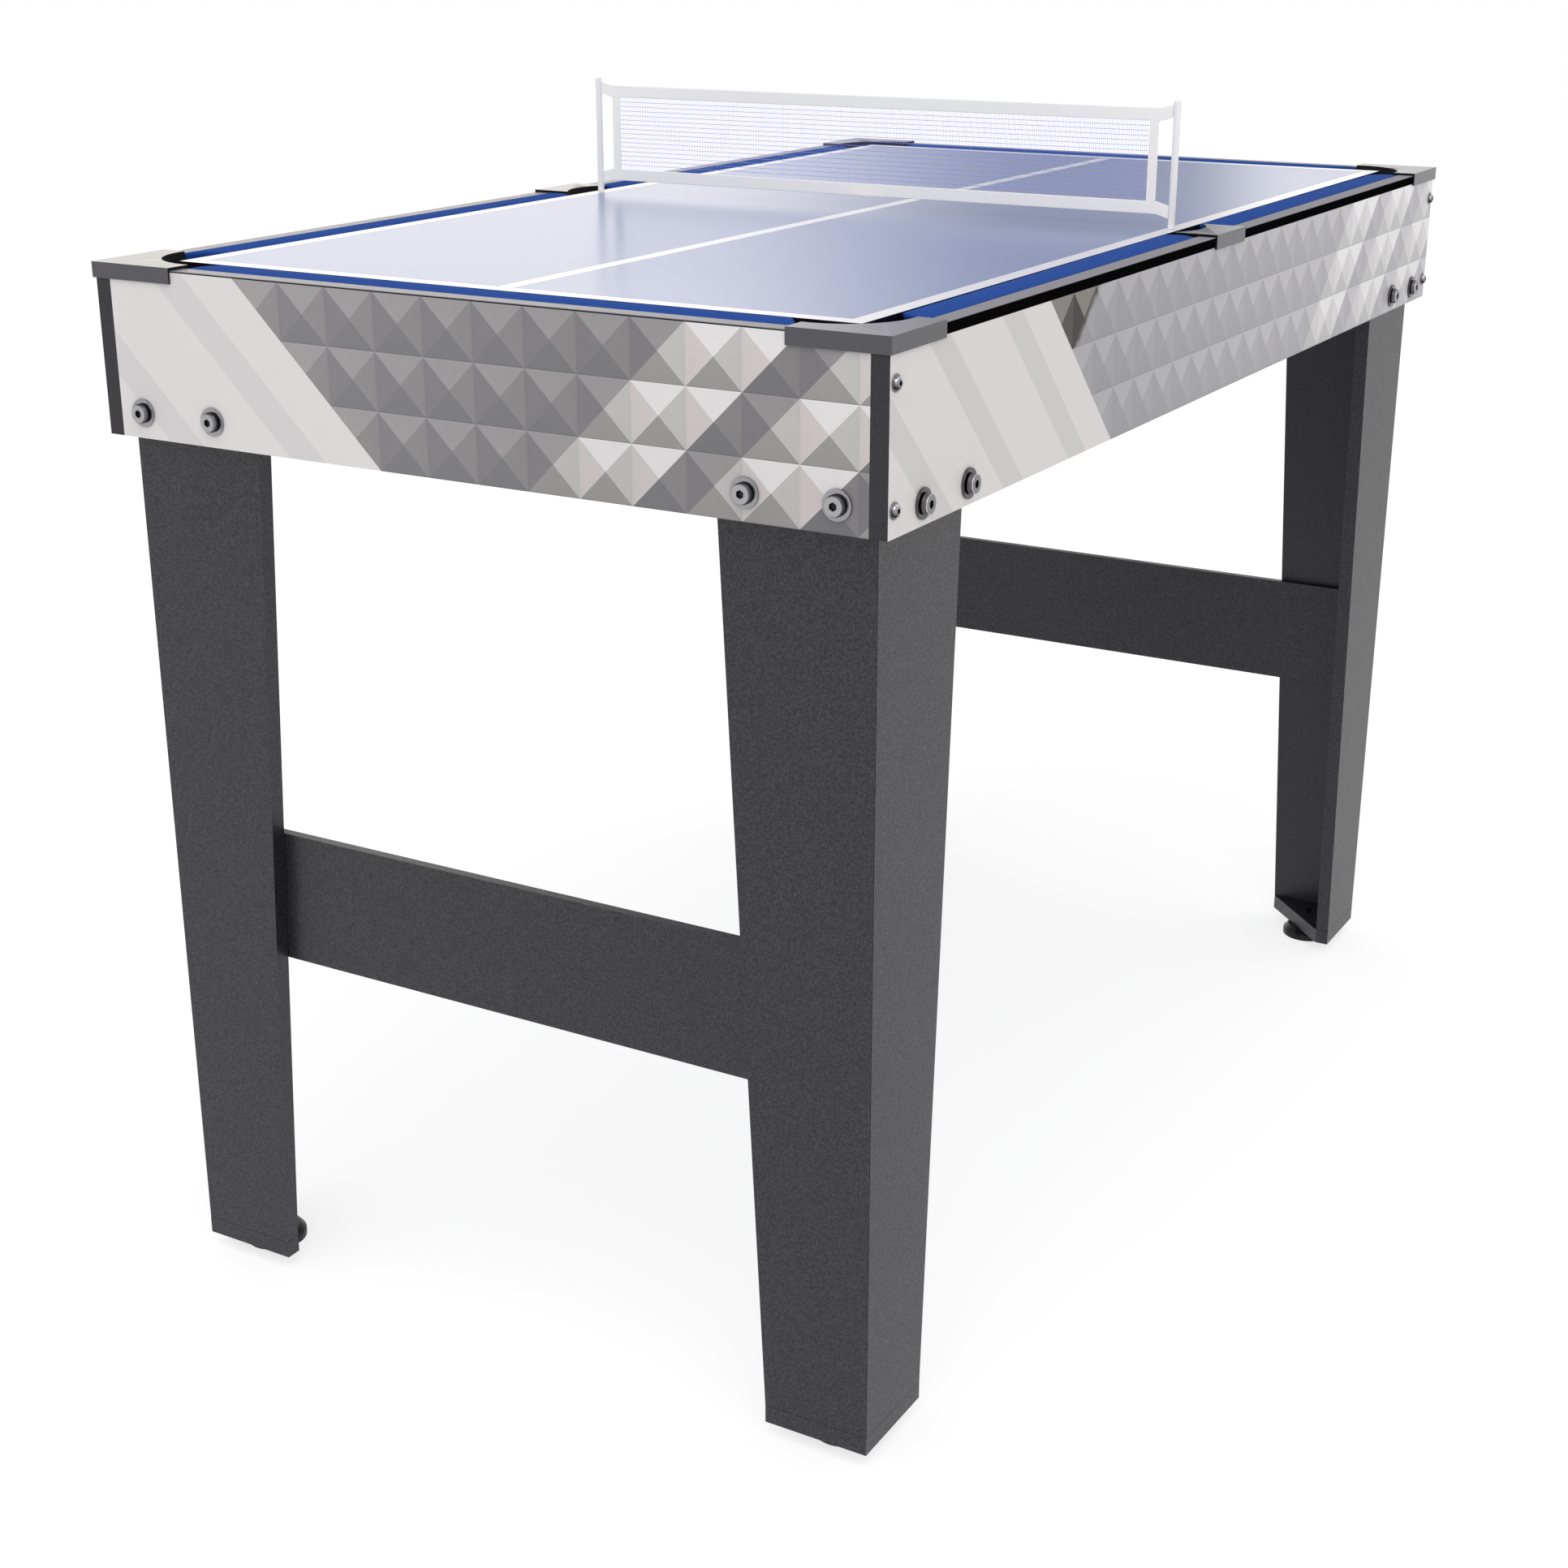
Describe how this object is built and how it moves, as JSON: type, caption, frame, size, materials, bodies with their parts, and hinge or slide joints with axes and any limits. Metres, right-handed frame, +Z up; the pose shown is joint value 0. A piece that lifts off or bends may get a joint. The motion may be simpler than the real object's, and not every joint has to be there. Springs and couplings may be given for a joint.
{
  "type": "multi game table",
  "caption": "Free-standing multi game table: a pool table with cushions and pockets, covered by a lift-out table tennis top with a net.",
  "frame": {"origin": "centre of the part's bounding box on the floor plane, under the middle of the table", "axes": "+X along the table's length, +Y across it, +Z up"},
  "size_m": [1.2336, 0.6986, 0.9643],
  "materials": {
    "apron_print": "satin printed laminate in stripes and small pyramids",
    "leg_laminate": "fine speckled matt laminate",
    "rail_strip": "satin",
    "cushion_cloth": "woven cloth over rubber",
    "bed_cloth": "board covered in woven cloth",
    "pocket_plastic": "satin moulded plastic",
    "tennis_print": "semi-gloss print with white lines",
    "bearer_board": "bare board",
    "bolt_steel": "bright zinc",
    "foot_plastic": "satin black",
    "net_cloth": "white tape and mesh",
    "post_plastic": "satin white"
  },
  "bodies": {
    "table": {"side_apron_front": "apron_print", "side_rail_front": "rail_strip", "cushion_front_left": "cushion_cloth", "cushion_front_right": "cushion_cloth", "middle_pocket_front": "pocket_plastic", "bolt_front_left_outer": "bolt_steel", "bolt_front_left_inner": "bolt_steel", "bolt_front_right_outer": "bolt_steel", "bolt_front_right_inner": "bolt_steel", "end_apron_right": "apron_print", "end_rail_right": "rail_strip", "cushion_right": "cushion_cloth", "leg_stretcher_right": "leg_laminate", "bolt_right_front_outer": "bolt_steel", "bolt_right_front_inner": "bolt_steel", "bolt_right_back_outer": "bolt_steel", "bolt_right_back_inner": "bolt_steel", "side_apron_back": "apron_print", "side_rail_back": "rail_strip", "cushion_back_right": "cushion_cloth", "cushion_back_left": "cushion_cloth", "middle_pocket_back": "pocket_plastic", "bolt_back_right_outer": "bolt_steel", "bolt_back_right_inner": "bolt_steel", "bolt_back_left_outer": "bolt_steel", "bolt_back_left_inner": "bolt_steel", "end_apron_left": "apron_print", "end_rail_left": "rail_strip", "cushion_left": "cushion_cloth", "leg_stretcher_left": "leg_laminate", "bolt_left_back_outer": "bolt_steel", "bolt_left_back_inner": "bolt_steel", "bolt_left_front_outer": "bolt_steel", "bolt_left_front_inner": "bolt_steel", "corner_pocket_front_left": "pocket_plastic", "leg_front_left_side_panel": "leg_laminate", "leg_front_left_end_panel": "leg_laminate", "foot_plate_front_left": "leg_laminate", "corner_pocket_front_right": "pocket_plastic", "leg_front_right_side_panel": "leg_laminate", "leg_front_right_end_panel": "leg_laminate", "foot_plate_front_right": "leg_laminate", "corner_pocket_back_right": "pocket_plastic", "leg_back_right_side_panel": "leg_laminate", "leg_back_right_end_panel": "leg_laminate", "foot_plate_back_right": "leg_laminate", "corner_pocket_back_left": "pocket_plastic", "leg_back_left_side_panel": "leg_laminate", "leg_back_left_end_panel": "leg_laminate", "foot_plate_back_left": "leg_laminate", "pool_bed": "bed_cloth", "bed_bearer": "bearer_board"},
    "tennis_top": {"tennis_top": "tennis_print"},
    "net_set": {"net": "net_cloth", "net_post_front": "post_plastic", "net_post_back": "post_plastic"},
    "foot_front_left": {"levelling_foot_front_left": "foot_plastic"},
    "foot_front_right": {"levelling_foot_front_right": "foot_plastic"},
    "foot_back_right": {"levelling_foot_back_right": "foot_plastic"},
    "foot_back_left": {"levelling_foot_back_left": "foot_plastic"}
  },
  "joints": [
    {"name": "tennis_top_lift", "type": "slide", "parent": "table", "child": "tennis_top", "axis": [0, 0, 1], "range_m": [0, 0.2]},
    {"name": "net_lift", "type": "slide", "parent": "tennis_top", "child": "net_set", "axis": [0, 0, 1], "range_m": [0, 0.15]},
    {"name": "foot_screw_front_left", "type": "slide", "parent": "table", "child": "foot_front_left", "axis": [0, 0, -1], "range_m": [0, 0.012]},
    {"name": "foot_screw_front_right", "type": "slide", "parent": "table", "child": "foot_front_right", "axis": [0, 0, -1], "range_m": [0, 0.012]},
    {"name": "foot_screw_back_right", "type": "slide", "parent": "table", "child": "foot_back_right", "axis": [0, 0, -1], "range_m": [0, 0.012]},
    {"name": "foot_screw_back_left", "type": "slide", "parent": "table", "child": "foot_back_left", "axis": [0, 0, -1], "range_m": [0, 0.012]}
  ]
}
